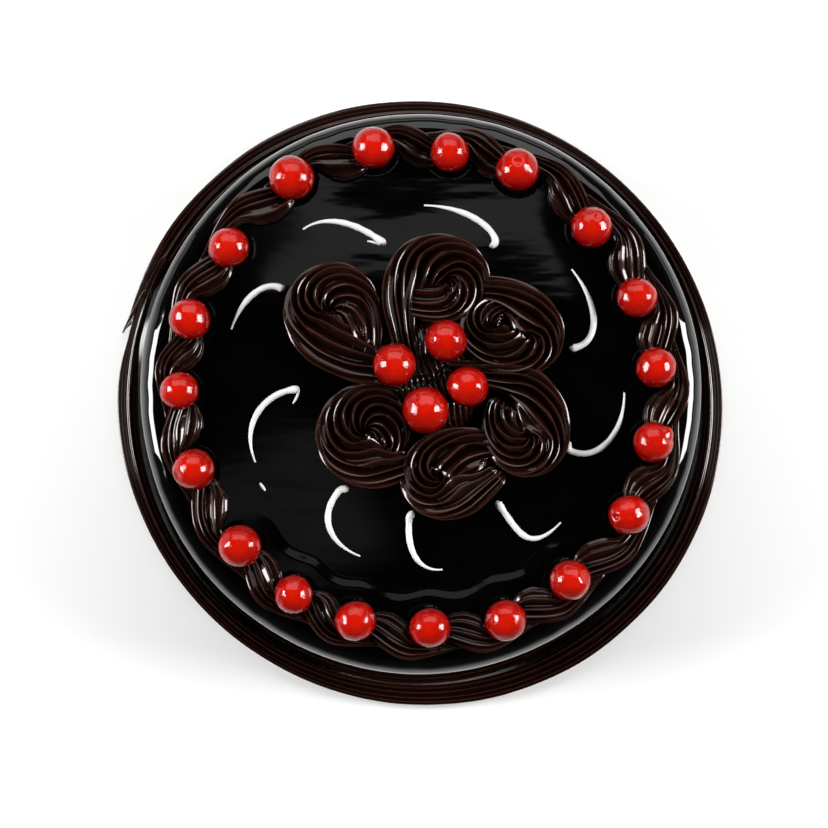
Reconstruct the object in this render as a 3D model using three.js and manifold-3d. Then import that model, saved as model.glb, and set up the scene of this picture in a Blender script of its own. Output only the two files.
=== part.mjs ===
// Round chocolate truffle cake: a glazed body with white icing curls on top, a piped rope round its foot,
// a ring of piped shells with cherries round its rim, and a piped flower with cherries in the middle.
// Millimetres, +Z up, origin at the centre of the flat base, +Y away from the viewer.
import * as THREE from "three";
import { mergeVertices } from "three/addons/utils/BufferGeometryUtils.js";
import Module from "manifold-3d";

const wasm = await Module();
wasm.setup();

// Driving dimensions
const CAKE = { baseRadius: 96, topRadius: 90, height: 62, shoulder: 7, sides: 56, arcPoints: 2 };
const GAP = 0.3; // clearance between pieces that press on each other

const FOOT_ROPE = { outerRadius: 103, width: 8, height: 9, oval: 1.1, ovalBearing: 135, sides: 44, teeth: 9,
  groove: 0.16 };
const FOOT_SEAM = { bearing: 160, span: 24, radius: 98.2, width: 1.9, rise: 8.2, steps: 6, sides: 6 };

const RIM = { radius: 75.6, oval: 0.3, ovalBearing: 110, seat: GAP };
// Each cherry of the rim, clockwise: its bearing, its distance from the axis and its diameter
const RIM_CHERRIES = [
  [101, 78.2, 13.6], [83, 75.9, 12.6], [66.2, 76.2, 14], [43.5, 74.7, 13.4], [23, 74.5, 13], [5.3, 74.7, 13],
  [-12.8, 75.4, 13.3], [-31.1, 76.8, 13.1], [-52, 76.4, 13.3], [-69.8, 77.6, 13.3], [-87.8, 75.2, 12.9],
  [-105.7, 75.8, 13.1], [-121.7, 76, 12.4], [-138.9, 75.4, 13.8], [-160.4, 75.8, 13.5], [-179.7, 76.2, 12.3],
  [-196.9, 76.3, 13.3], [-216.5, 75.6, 13.1], [-238.7, 78.5, 14.4],
];

// A shell runs on under its neighbours: covered is how much of its two ends they hide
const SHELL = { startRadius: 80.8, tailRadius: 81.6, headRadius: 75, lead: 10, clear: 2.5,
  coveredStart: 6.5, coveredEnd: 4.9, tailWidth: 1.5, width: 4.1, innerReach: 1.8,
  tailHeight: 4, height: 8.6, steps: 5, teeth: 6, groove: 0.2 };

const ROSETTE = { width: 6.1, height: 9.8, twist: 0.8, eyeReach: 1.4, eyeMargin: 1.2, eyeRadius: 5,
  eyeHeight: 2.5, step: 0.5, blend: [-3, -1.5, 0, 1.5, 3], joint: 0.47, lap: 2, lapShare: 0.95,
  rings: 6, teeth: 6, groove: 0.22 };
// Each rosette: where its strand starts, its heading there, its size, how thick its start and its end are,
// over what length it swells, the strokes of the strand as length and clockwise turn, and two points of the
// line along which it meets the next rosette
const ROSETTES = [
  { x: -4.2, y: 4.2, heading: 168, size: 1.04, begin: 0.8, finish: 0.85, swelling: 20,
    strokes: [[24, 10], [14, 45], [32, 190], [18, 32]], meets: [[-8.5, 7.5], [-12, 32]] },
  { x: -2.5, y: 4.5, heading: 105, size: 1.03, begin: 0.55, finish: 0.8, swelling: 42,
    strokes: [[20, 4], [12, 31], [22, 103], [20, 142], [14, 30]], meets: [[8.2, 15.2], [20.5, 34]] },
  { x: 18, y: 32.5, heading: -5, size: 0.95, begin: 0.75, finish: 0.7, swelling: 18,
    strokes: [[15, 21], [12, 46], [9.5, 80], [21, 90], [9, 90], [8, 75]], meets: [[14, 9.3], [42, 7]] },
  { x: 7, y: 5.9, heading: -1, size: 0.95, begin: 0.7, finish: 0.75, swelling: 35,
    strokes: [[20, 4], [10, 40], [15, 39], [19, 130], [15, 77], [5, 15]], meets: [[10, -12], [27, -24]] },
  { x: 26, y: -25.4, heading: -138, size: 0.98, begin: 0.6, finish: 0.95, swelling: 16,
    strokes: [[14.5, 12], [8, 34], [20, 145], [17, 46], [6, 40]], meets: [[-3.5, -10], [-7, -36]] },
  { x: -2, y: -23.2, heading: -163, size: 1.03, begin: 0.8, finish: 0.7, swelling: 14,
    strokes: [[11, 12], [10, 36], [27, 154], [15, 97], [6, 36]], meets: [[-5, 0.5], [-35, 6]] },
];

const HEART = { x: 4.2, y: 4.1, radius: 14, height: 5, sides: 14, arcPoints: 3 };
const HEART_SEAT = 3.6; // how far the middle cherries stand above the glaze
const HEART_CHERRIES = [
  { x: -8.0, y: 7.5, diameter: 13.4 },
  { x: 8.2, y: 15.2, diameter: 13.4 },
  { x: 14.9, y: 0.5, diameter: 13.2 },
  { x: 1.6, y: -6.7, diameter: 14.6 },
];
const CHERRY_SIDES = { round: 10, tall: 6 };

const CURL = { width: 1.1, headWidth: 1.55, tipWidth: 0.4, steps: 5, sides: 5, sunk: 0.3 };
// Each curl: bearing and radius of its head, how far it sweeps round, the radius its tip reaches, and how
// late it bends
const CURLS = [
  { bearing: 104.5, head: 49.2, sweep: 21.5, tip: 63.8, late: 1 },
  { bearing: 143.5, head: 54, sweep: 18.5, tip: 63.4, late: 2 },
  { bearing: 179.5, head: 39.5, sweep: 24, tip: 57.2, late: 1.6 },
  { bearing: 231, head: 41.5, sweep: 19, tip: 56, late: 2 },
  { bearing: 265, head: 41, sweep: 12, tip: 57.3, late: 2 },
  { bearing: 304.5, head: 43.6, sweep: 12.2, tip: 61.2, late: 4 },
  { bearing: 338, head: 51.5, sweep: 21.4, tip: 64.9, late: 2 },
  { bearing: 15.5, head: 51, sweep: 23.3, tip: 61.9, late: 2.3 },
  { bearing: 63.3, head: 53, sweep: 25.6, tip: 59.3, late: 1.7 },
];

// Materials
const material = (color, roughness) => new THREE.MeshStandardMaterial({ color, roughness, metalness: 0 });
const GLAZE = material(0x0d0706, 0.08);
const GANACHE = material(0x2a1512, 0.4);
const CHERRY = material(0xc40d0a, 0.12);

const radians = THREE.MathUtils.degToRad;
const mix = THREE.MathUtils.lerp;
const smooth = (value, low, high) => THREE.MathUtils.smoothstep(value, low, high);
const polar = (radius, bearing) => ({
  x: radius * Math.cos(radians(bearing)),
  y: radius * Math.sin(radians(bearing)),
});

// Radius of a ring that is slightly oval, at a bearing
const ovalRadius = (radius, oval, ovalBearing, bearing) =>
  radius + oval * Math.cos(radians(2 * (bearing - ovalBearing)));

// Solids from closed geometries, and back
function solidOf(geometry) {
  const bare = geometry.clone();
  bare.deleteAttribute("normal");
  bare.deleteAttribute("uv");
  const merged = mergeVertices(bare, 1e-3);
  return new wasm.Manifold(new wasm.Mesh({
    numProp: 3,
    vertProperties: new Float32Array(merged.getAttribute("position").array),
    triVerts: new Uint32Array(merged.index.array),
  }));
}

function geometryOf(solid) {
  const mesh = solid.getMesh();
  const geometry = new THREE.BufferGeometry();
  geometry.setAttribute("position", new THREE.BufferAttribute(mesh.vertProperties, 3));
  geometry.setIndex(new THREE.BufferAttribute(mesh.triVerts, 1));
  geometry.computeVertexNormals();
  return geometry;
}

const fuse = (solids) => solids.reduce((whole, next) => whole.add(next));
const cutBy = (solid, cutters) => cutters.reduce((rest, cutter) => rest.subtract(cutter), solid);
const largestBody = (solid) =>
  solid.decompose().reduce((best, body) => (body.volume() > best.volume() ? body : best));

// A bead laid along a path. bead(t) gives its place, heading in radians, half-widths to its left and right,
// height, height of its axis, and the roll of its star section, all at t from 0 to 1. Sides alternate between
// crest and groove.
function beadGeometry(bead, sides, steps, groove) {
  const geometry = new THREE.CylinderGeometry(1, 1, 1, sides, steps);
  const place = geometry.getAttribute("position");
  for (let i = 0; i < place.count; i++) {
    const reach = Math.hypot(place.getX(i), place.getZ(i));
    const { x, y, heading, left, right, height, axisHeight, roll } = bead(place.getY(i) + 0.5);
    const angle = Math.atan2(place.getX(i), place.getZ(i));
    const side = Math.round((angle / (2 * Math.PI)) * sides);
    const star = reach * (side % 2 === 0 ? 1 : 1 - groove);
    const turned = angle + roll;
    const across = star * (Math.sin(turned) > 0 ? right : left) * Math.sin(turned);
    const up = axisHeight + star * (height / 2) * Math.cos(turned);
    place.setXYZ(i, x + across * Math.sin(heading), y - across * Math.cos(heading), up);
  }
  return geometry;
}

// Heading of a path at t, from two points close together
function headingOf(path, t) {
  const step = 1e-3;
  const from = path(t - step);
  const to = path(t + step);
  return Math.atan2(to.y - from.y, to.x - from.x);
}

// The white curls of icing, half sunk in the glaze: a thick head near the flower, running outwards first
// and then round to a thin tip
function curlSolid({ bearing, head, sweep, tip, late }) {
  const path = (t) => {
    const radius = mix(head, tip, Math.sin((Math.PI / 2) * t));
    return polar(radius, bearing + sweep * Math.max(0, t) ** late);
  };
  const bead = (t) => {
    const thick = mix(CURL.headWidth, CURL.width, smooth(t, 0, 0.15));
    const width = mix(thick, CURL.tipWidth, smooth(t, 0.5, 1));
    const axisHeight = CAKE.height + CURL.sunk * width;
    return { ...path(t), heading: headingOf(path, t), left: width, right: width, height: 2 * width,
      axisHeight, roll: 0 };
  };
  return solidOf(beadGeometry(bead, CURL.sides, CURL.steps, 0));
}

// The glazed body, turned round its axis, with the curls fused to its top
function cakeSolid() {
  const outline = new THREE.Path();
  outline.moveTo(0, 0);
  outline.lineTo(CAKE.baseRadius, 0);
  outline.lineTo(CAKE.topRadius, CAKE.height - CAKE.shoulder);
  outline.absarc(CAKE.topRadius - CAKE.shoulder, CAKE.height - CAKE.shoulder, CAKE.shoulder, 0, Math.PI / 2);
  outline.lineTo(0, CAKE.height);
  const body = new THREE.LatheGeometry(outline.getPoints(CAKE.arcPoints), CAKE.sides).rotateX(Math.PI / 2);
  return fuse([solidOf(body), ...CURLS.map(curlSolid)]);
}

// Radius of the sloping wall at a height, with the gap that a piece leaning on it keeps
const wallRadius = (z) => mix(CAKE.baseRadius, CAKE.topRadius, z / (CAKE.height - CAKE.shoulder)) + GAP;

// The rope round the foot: a ring that leans on the wall, and whose upper and outer side carries the ridges
// of a star nozzle
function footRopeSolid() {
  const inner = wallRadius(0);
  const halfWidth = FOOT_ROPE.width / 2;
  const middle = FOOT_ROPE.outerRadius - halfWidth;
  const halfTooth = 180 / FOOT_ROPE.teeth;
  const section = [new THREE.Vector2(inner, 0)];
  for (let angle = -halfTooth; angle <= 180 - halfTooth; angle += halfTooth) {
    const crest = Math.round(angle / halfTooth) % 2 === 0;
    const reach = crest ? 1 : 1 - FOOT_ROPE.groove;
    const { x, y } = polar(reach, angle);
    const level = FOOT_ROPE.height * (0.46 + 0.54 * y);
    section.push(new THREE.Vector2(Math.max(middle + halfWidth * x, wallRadius(level)), level));
  }
  section[1].y = 0;
  section.push(section[0].clone());
  const ring = new THREE.LatheGeometry(section, FOOT_ROPE.sides).rotateX(Math.PI / 2);
  const place = ring.getAttribute("position");
  for (let i = 0; i < place.count; i++) {
    const radius = Math.hypot(place.getX(i), place.getY(i));
    const bearing = THREE.MathUtils.radToDeg(Math.atan2(place.getY(i), place.getX(i)));
    const outward = Math.max(0, (radius - inner) / (FOOT_ROPE.outerRadius - inner));
    const uneven = ovalRadius(0, FOOT_ROPE.oval, FOOT_ROPE.ovalBearing, bearing);
    const stretched = 1 + (outward * uneven) / radius;
    place.setXYZ(i, place.getX(i) * stretched, place.getY(i) * stretched, place.getZ(i));
  }
  return fuse([solidOf(ring), footSeamSolid()]);
}

// The end of the rope, which runs on over its own beginning and thins out
function footSeamSolid() {
  const path = (t) => polar(FOOT_SEAM.radius + GAP, FOOT_SEAM.bearing - FOOT_SEAM.span * (t - 0.5));
  const bead = (t) => {
    const width = FOOT_SEAM.width * mix(1, 0.35, t);
    return { ...path(t), heading: headingOf(path, t), left: width, right: width, height: 2.4 * width,
      axisHeight: FOOT_SEAM.rise, roll: 0 };
  };
  return solidOf(beadGeometry(bead, FOOT_SEAM.sides, FOOT_SEAM.steps, 0));
}

// Cherries
const cherryGeometry = (diameter) =>
  new THREE.SphereGeometry(diameter / 2, CHERRY_SIDES.round, CHERRY_SIDES.tall).rotateX(Math.PI / 2);

function rimCherry(index) {
  const [bearing, radius, diameter] = RIM_CHERRIES[index % RIM_CHERRIES.length];
  return { ...polar(radius, bearing), z: CAKE.height + RIM.seat + diameter / 2, diameter };
}

const heartCherry = ({ x, y, diameter }) => ({ x, y, z: CAKE.height + HEART_SEAT + diameter / 2, diameter });

const socketOf = (cherry) =>
  solidOf(cherryGeometry(cherry.diameter + 2 * GAP).translate(cherry.x, cherry.y, cherry.z));

// One shell of the rim: it starts thin outside one cherry, swells, and bends inwards to the next cherry
function shellSolid(index) {
  const [from] = RIM_CHERRIES[index];
  const last = index + 1 === RIM_CHERRIES.length;
  const to = last ? RIM_CHERRIES[0][0] - 360 : RIM_CHERRIES[index + 1][0];
  const ring = RIM.radius;
  const length = radians(from - to) * ring - SHELL.clear + SHELL.lead;
  const path = (t) => {
    const bearing = from + THREE.MathUtils.radToDeg((SHELL.lead - length * t) / ring);
    const outer = mix(SHELL.startRadius, SHELL.tailRadius, smooth(t, 0, 0.4));
    const radius = mix(outer, SHELL.headRadius, smooth(t, 0.5, 1.04));
    return polar(ovalRadius(radius, RIM.oval, RIM.ovalBearing, bearing), bearing);
  };
  const bead = (share) => {
    const t = mix(SHELL.coveredStart / length, 1 - SHELL.coveredEnd / length, share);
    const swell = smooth(t, 0.1, 0.66);
    const width = mix(SHELL.tailWidth, SHELL.width, swell);
    const inner = width * mix(1, SHELL.innerReach, smooth(t, 0.45, 0.74) * (1 - smooth(t, 0.8, 1)));
    const height = mix(SHELL.tailHeight, SHELL.height, swell) * mix(1, 0.7, smooth(t, 0.65, 1));
    return { ...path(t), heading: headingOf(path, t), left: width, right: inner, height,
      axisHeight: CAKE.height + 0.36 * height, roll: 0 };
  };
  const rope = solidOf(beadGeometry(bead, 2 * SHELL.teeth, SHELL.steps, SHELL.groove));
  return cutBy(rope.trimByPlane([0, 0, 1], CAKE.height), [socketOf(rimCherry(index))]);
}

// How far a strand has turned, in degrees, at a length along its strokes
function turnedAt(strokes, along) {
  let start = 0;
  let turned = 0;
  for (const [length, turn] of strokes) {
    turned += turn * THREE.MathUtils.clamp((along - start) / length, 0, 1);
    start += length;
  }
  return turned;
}

// Course of a rosette: points a short step apart along its strand, with the length and the turning up to
// each. Strokes blend into each other.
function rosetteCourse({ x, y, heading, strokes }) {
  const whole = strokes.reduce((sum, [length]) => sum + length, 0);
  const points = [];
  let place = { x, y };
  for (let along = 0; along < whole; along += ROSETTE.step) {
    const turns = ROSETTE.blend.map((shift) => turnedAt(strokes, along + shift));
    const turned = turns.reduce((sum, turn) => sum + turn) / turns.length;
    points.push({ ...place, along, turned: radians(turned) });
    const toward = polar(ROSETTE.step, heading - turned);
    place = { x: place.x + toward.x, y: place.y + toward.y };
  }
  return points;
}

// Middle of the loop of a rosette
function loopMiddle(points) {
  const last = points[points.length - 1];
  const loop = points.filter((point) => point.turned > 0.25 * last.turned);
  const sum = loop.reduce((total, point) => ({ x: total.x + point.x, y: total.y + point.y }));
  return { x: sum.x / loop.length, y: sum.y / loop.length };
}

// One rosette: its strand, whose inner flank closes the eye of the loop
function rosetteSolid(rosette, points) {
  const last = points.length - 1;
  const joint = points.findIndex((point) => point.turned >= ROSETTE.joint * points[last].turned);
  const { size, begin, finish, swelling } = rosette;
  const beadAt = (index) => {
    const { x, y, along, turned } = points[index];
    const before = points[Math.max(0, index - 1)];
    const after = points[Math.min(last, index + 1)];
    const bend = (after.turned - before.turned) / (after.along - before.along);
    const done = turned / points[last].turned;
    const swell = mix(begin, 1, smooth(along, 0, swelling));
    const left = ROSETTE.width * size * swell * mix(1, finish, smooth(done, 0.6, 1));
    const reach = left * mix(1, ROSETTE.eyeReach, smooth(along, 0.3 * swelling, 1.2 * swelling));
    const height = ROSETTE.height * mix(1, swell, 0.8) * mix(1, 0.7, smooth(done, 0.7, 1));
    return { x, y, heading: Math.atan2(after.y - before.y, after.x - before.x), left,
      right: Math.min(reach, 1 / Math.max(bend, 1e-4) - ROSETTE.eyeMargin), height,
      axisHeight: CAKE.height + 0.4 * height, roll: -ROSETTE.twist * turned };
  };
  const stretch = (first, end, startShare) => {
    const bead = (t) => {
      const { left, right, height, ...place } = beadAt(Math.round(mix(first, end, t)));
      const share = t > 0 ? 1 : startShare;
      return { ...place, left: left * share, right: right * share, height: height * share };
    };
    return solidOf(beadGeometry(bead, 2 * ROSETTE.teeth, ROSETTE.rings, ROSETTE.groove));
  };
  // The second stretch starts inside the first and a little slimmer
  const strand = [stretch(0, joint, 1), stretch(joint - ROSETTE.lap, last, ROSETTE.lapShare)];
  const { eyeRadius, eyeHeight } = ROSETTE;
  const eye = loopMiddle(points);
  const eyeFloor = new THREE.CylinderGeometry(eyeRadius, eyeRadius, eyeHeight, ROSETTE.teeth);
  eyeFloor.rotateX(Math.PI / 2).translate(eye.x, eye.y, CAKE.height + eyeHeight / 2);
  return fuse([...strand, solidOf(eyeFloor)]).trimByPlane([0, 0, 1], CAKE.height);
}

// The mound of ganache in the heart of the flower, grown by a margin
function heartMound(margin) {
  const outline = new THREE.Path();
  outline.moveTo(0, 0);
  outline.lineTo(HEART.radius + margin, 0);
  outline.absellipse(0, 0, HEART.radius + margin, HEART.height + margin, 0, Math.PI / 2);
  const mound = new THREE.LatheGeometry(outline.getPoints(HEART.arcPoints), HEART.sides).rotateX(Math.PI / 2);
  return solidOf(mound.translate(HEART.x, HEART.y, CAKE.height));
}

const heartSockets = () => HEART_CHERRIES.map((cherry) => socketOf(heartCherry(cherry)));

// A rosette presses flat against its two neighbours, lies on the mound, and the middle cherries dent it
function pressedRosette(index) {
  const points = rosetteCourse(ROSETTES[index]);
  const own = loopMiddle(points);
  let solid = rosetteSolid(ROSETTES[index], points);
  for (const first of [index, (index + ROSETTES.length - 1) % ROSETTES.length]) {
    const [[x, y], [toX, toY]] = ROSETTES[first].meets;
    const edge = Math.atan2(toY - y, toX - x);
    const side = Math.sign((own.y - y) * Math.cos(edge) - (own.x - x) * Math.sin(edge));
    const normal = [-Math.sin(edge) * side, Math.cos(edge) * side, 0];
    const offset = normal[0] * x + normal[1] * y + GAP / 2;
    solid = solid.trimByPlane(normal, offset);
  }
  return cutBy(solid, [heartMound(GAP), ...heartSockets()]);
}

// The cake as a scene graph
const cake = new THREE.Group();
const twoDigits = (index) => String(index + 1).padStart(2, "0");

function add(name, geometry, look, place = { x: 0, y: 0, z: 0 }) {
  const mesh = new THREE.Mesh(geometry, look);
  mesh.name = name;
  mesh.position.set(place.x, place.y, place.z);
  cake.add(mesh);
}

add("cake_body", geometryOf(cakeSolid()), GLAZE);
add("foot_rope", geometryOf(footRopeSolid()), GANACHE);
RIM_CHERRIES.forEach((_, i) => {
  add(`rim_shell_${twoDigits(i)}`, geometryOf(largestBody(shellSolid(i))), GANACHE);
});
ROSETTES.forEach((_, i) => add(`rosette_${i + 1}`, geometryOf(largestBody(pressedRosette(i))), GANACHE));
add("heart", geometryOf(largestBody(cutBy(heartMound(0), heartSockets()))), GANACHE);
RIM_CHERRIES.forEach((_, i) => {
  const cherry = rimCherry(i);
  add(`rim_cherry_${twoDigits(i)}`, cherryGeometry(cherry.diameter), CHERRY, cherry);
});
HEART_CHERRIES.forEach((entry, i) => {
  const cherry = heartCherry(entry);
  add(`heart_cherry_${i + 1}`, cherryGeometry(cherry.diameter), CHERRY, cherry);
});

export default cake;
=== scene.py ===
"""A round chocolate truffle cake: mirror glaze, piped ganache, candied cherries and white icing curls.

Sizes are in millimetres, in the frame of the solids, and become metres when a mesh is made.
Bearings are in degrees, counter-clockwise from +X as seen from above.
"""

import math

import bmesh
import bpy
import numpy as np
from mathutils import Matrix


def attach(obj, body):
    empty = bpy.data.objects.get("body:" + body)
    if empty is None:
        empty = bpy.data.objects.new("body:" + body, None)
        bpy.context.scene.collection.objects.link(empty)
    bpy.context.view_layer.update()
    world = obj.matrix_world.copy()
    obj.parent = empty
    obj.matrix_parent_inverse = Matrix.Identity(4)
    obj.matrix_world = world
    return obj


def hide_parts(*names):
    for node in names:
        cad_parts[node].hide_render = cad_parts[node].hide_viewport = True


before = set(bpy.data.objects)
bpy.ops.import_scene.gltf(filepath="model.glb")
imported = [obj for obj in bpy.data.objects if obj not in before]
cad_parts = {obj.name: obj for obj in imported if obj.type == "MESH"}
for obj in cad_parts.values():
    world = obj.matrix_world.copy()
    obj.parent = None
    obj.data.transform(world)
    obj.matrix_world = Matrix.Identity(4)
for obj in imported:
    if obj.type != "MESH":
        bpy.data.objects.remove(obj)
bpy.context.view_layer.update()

MM = 0.001
GAP = 0.3

# Seeds of what is uneven; where a kind of piece repeats, the number of the piece is added
ROPE_STAR_SEED = 5
ROPE_SIZE_SEED = 7
ROPE_ROLL_SEED = 8
DRIP_SEED = 31
CURL_SEED = 40
ROSETTE_WIDTH_SEED = 60
SHELL_SWELL_SEED = 90
SHELL_ROLL_SEED = 120
SHELL_STAR_SEED = 150
ROSETTE_ROLL_SEED = 170
ROSETTE_STAR_SEED = 180
RIM_CHERRY_SEED = 200
HEART_CHERRY_SEED = 300
HEART_EDGE_SEED = 400

# An uneven wave: how many sines it adds up, the range of their rates, and the share of their sum that is
# its height
WOBBLE_SINES = 4
WOBBLE_RATES = (0.5, 1.6)
WOBBLE_SHARE = 0.7

# The glazed body
HEIGHT = 62.0
BASE_RADIUS = 96.0
TOP_RADIUS = 90.0
SHOULDER = 7.0
BODY_SIDES = 600
FINE_FROM = 61.0
COARSE_RING = 2.4
FINE_RING = 0.5
SHOULDER_RINGS = 14
WALL_RINGS = 16
SHOULDER_DRIP = 0.12
DRIP_CYCLES = 44.0

# Waves of the top: their height, and how fast each runs along X and along Y, and its phase
TOP_WAVE = 0.05
TOP_WAVES = ((0.11, 0.07, 0.0), (0.05, -0.13, 1.7))

# Waves round the wall: their height, and how many of each go round, its phase in degrees and its share
WALL_WAVE = 0.2
WALL_WAVES = ((3, 40, 1.0), (7, 0, 0.6))

# The collar of glaze round each cherry, which fades out below the fruit between two distances from the
# outline
COLLAR_HEIGHT = 0.35
COLLAR_REACH = 0.55
COLLAR_POWER = 1.3
COLLAR_UNDER = (-6.0, -1.0)

# The glaze stands a little higher along the front of the rim; the edge of that swings inwards at each cherry.
# It fades in between two shares of the way from the side to the front
POOL_RADIUS = 66.4
POOL_SWING = 2.3
POOL_SPREAD = 5.5
POOL_WIDTH = 3.0
POOL_HEIGHT = 0.33
POOL_FRONT = (0.55, 0.85)

# How sharply a crest and a flute of the ganache bend, as the shading measures it, and how blotchy that is.
# Between these the colour runs from painted shade in the flutes to a painted highlight on the crests
CREST_POINT = 0.545
FLUTE_POINT = 0.465
CREST_BLOTCH = 0.03

# The star nozzle that piped the ganache
TEETH = 12
TOOTH_PHASES = np.array([0.0, 0.06, 0.13, 0.22, 0.35, 0.5, 0.65, 0.78, 0.87, 0.94])
TOOTH_UNEVEN = 0.14
FLUTE_UNEVEN = 0.3
CREST_ROUND = 0.2
FLUTE_POWER = 1.9
SUNK = 0.3

# The rounded end of a bead: its length, and how thick it is at its very tip
NOSE = 3.0
NOSE_TIP = 0.02

# How finely the balls that cut and fill are divided, and the cherries
BALL_FINENESS = 4
CHERRY_FINENESS = 5

# The rope round the foot, with its two ends lapping on the left
ROPE_RADIUS = 99.5
ROPE_HALF_WIDTH = 3.5
ROPE_HEIGHT = 9.0
ROPE_OVAL = 1.1
ROPE_OVAL_BEARING = 135.0
ROPE_AXIS_SHARE = 0.46
ROPE_TOP_SHARE = 0.96
ROPE_FLUTE = 1.1
ROPE_STEP = 1.0
SEAM_BEARING = 167.0
SEAM_LAP = 17.0
ROPE_UNEVEN = 0.022
ROPE_UNEVEN_CYCLES = 14.0
ROPE_ROLL = 15.0
ROPE_ROLL_SWING = 9.0
ROPE_ROLL_CYCLES = 3.0

# The ends of the rope, in degrees turned from the seam: where the start swells, how far its pointed tip
# reaches, where the end begins to thin, and where the end is pinched as it passes the start
START_SWELLS = (-2.0, 20.0)
TIP_REACH = 4.0
END_THINS = 347.0
PINCH_AT = 359.0
PINCH_SPREAD = 4.0
# Shares of the full size: the two ends, the tip, and what the pinch takes away. Then how far the start and
# its tip lie outwards, how far the end lies inwards, how low the start is and how much higher the end is
END_SIZE = 0.3
TIP_SIZE = 0.2
PINCH_SHARE = 0.2
START_OUTWARD = 2.6
TIP_OUTWARD = 2.0
END_INWARD = 0.6
START_AXIS = 0.4
END_RISE = 4.0

# A thread on the seam: start, heading, length, turn at its end, half-width and level
ROPE_THREAD = ((-98.6, 27.6), 62, 16.0, -215, 0.55, 8.4)
ROPE_THREAD_TURNS = (0.6, 1.0)
ROPE_THREAD_STEPS = 40
ROPE_THREAD_SIDES = 10
ROPE_THREAD_BLUNT = 2.0

# Cherries round the rim, clockwise: bearing, distance from the axis and diameter of each
RIM_CHERRIES = (
    (101, 78.2, 13.6), (83, 75.9, 12.6), (66.2, 76.2, 14), (43.5, 74.7, 13.4), (23, 74.5, 13),
    (5.3, 74.7, 13), (-12.8, 75.4, 13.3), (-31.1, 76.8, 13.1), (-52, 76.4, 13.3), (-69.8, 77.6, 13.3),
    (-87.8, 75.2, 12.9), (-105.7, 75.8, 13.1), (-121.7, 76, 12.4), (-138.9, 75.4, 13.8),
    (-160.4, 75.8, 13.5), (-179.7, 76.2, 12.3), (-196.9, 76.3, 13.3), (-216.5, 75.6, 13.1),
    (-238.7, 78.5, 14.4))
RIM_BEARINGS = tuple(cherry[0] for cherry in RIM_CHERRIES)

# The ring of shells round the rim
RING_RADIUS = 75.6
RING_OVAL = 0.3
RING_OVAL_BEARING = 110.0
RING_SHIFT = np.array([0.6, 0.0])
SHELL_START_RADIUS = 80.8
SHELL_TAIL_RADIUS = 81.6
SHELL_HEAD_RADIUS = 75.0
SHELL_LEAD = 10.0
SHELL_CLEAR = 2.5
SHELL_TAIL_WIDTH = 1.5
SHELL_WIDTH = 4.1
SHELL_INNER_REACH = 1.8
SHELL_INNER_FLUTE = 0.4
SHELL_HEIGHT = 8.6
SHELL_TAIL_HEIGHT = 4.0
SHELL_LOW_SHARE = 0.7
SHELL_AXIS_SHARE = 0.36
SHELL_FLUTE = 1.5
SHELL_STEPS = 70
SHELL_UNEVEN = 0.06
SHELL_UNEVEN_CYCLES = 1.5
SHELL_ROLL = 10.0
SHELL_ROLL_CYCLES = 1.0
# The sines of the angles between which the inner flank of a shell turns smooth
SHELL_FLANK = (0.3, 0.9)
# Along a shell, 0 at its tail and 1 at its head: where it runs outwards, bends inwards, swells, widens and
# narrows on its inner side, and gets lower
SHELL_OUTWARDS = (0.0, 0.4)
SHELL_INWARDS = (0.5, 1.04)
SHELL_SWELLS = (0.1, 0.66)
SHELL_WIDENS = (0.45, 0.74)
SHELL_NARROWS = (0.8, 1.0)
SHELL_LOWERS = (0.65, 1.0)

# The flower of rosettes. Each one: where its strand starts, its heading there, its size, how thick its
# start and its end are, over what length it swells, and the strokes of the strand: how long each is and
# how far it turns clockwise
ROSETTES = (
    ((-4.2, 4.2), 168, 1.04, 0.8, 0.85, 20, ((24, 10), (14, 45), (32, 190), (18, 32))),
    ((-2.5, 4.5), 105, 1.03, 0.55, 0.8, 42, ((20, 4), (12, 31), (22, 103), (20, 142), (14, 30))),
    ((18.0, 32.5), -5, 0.95, 0.75, 0.7, 18, ((15, 21), (12, 46), (9.5, 80), (21, 90), (9, 90), (8, 75))),
    ((7.0, 5.9), -1, 0.95, 0.7, 0.75, 35, ((20, 4), (10, 40), (15, 39), (19, 130), (15, 77), (5, 15))),
    ((26.0, -25.4), -138, 0.98, 0.6, 0.95, 16, ((14.5, 12), (8, 34), (20, 145), (17, 46), (6, 40))),
    ((-2.0, -23.2), -163, 1.03, 0.8, 0.7, 14, ((11, 12), (10, 36), (27, 154), (15, 97), (6, 36))))
TURN_BLEND = 3.0
TURN_SAMPLES = 7
ROSETTE_WIDTH = 6.1
ROSETTE_HEIGHT = 9.8
ROSETTE_FLUTE = 2.4
ROSETTE_TWIST = 0.8
ROSETTE_STEP = 0.4
ROSETTE_UNEVEN = 0.025
ROSETTE_UNEVEN_CYCLES = 4.0
ROSETTE_ROLL = 6.0
ROSETTE_ROLL_CYCLES = 2.0
ROSETTE_AXIS_SHARE = 0.4
# How much of its swelling shows in the height of a strand, and how low its end is
SWELL_IN_HEIGHT = 0.8
ROSETTE_LOW_SHARE = 0.7
# Shares of the turning between which a strand thins, and between which it gets lower
ROSETTE_THINS = (0.6, 1.0)
ROSETTE_LOWERS = (0.7, 1.0)
# The inner side of a strand: how far it reaches into the eye, between which shares of the swelling that
# grows, how far it stays from the middle of the bend, and the least turning of a step
EYE_REACH = 1.7
EYE_GROWS = (0.3, 1.2)
EYE_MARGIN = 0.8
LEAST_TURN = 1e-4
# The mound that closes the eye: its reach and height, and the share of the turning from which the strand
# goes round the eye
EYE_FLOOR = (7.0, 3.4)
EYE_FROM = 0.25

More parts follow.
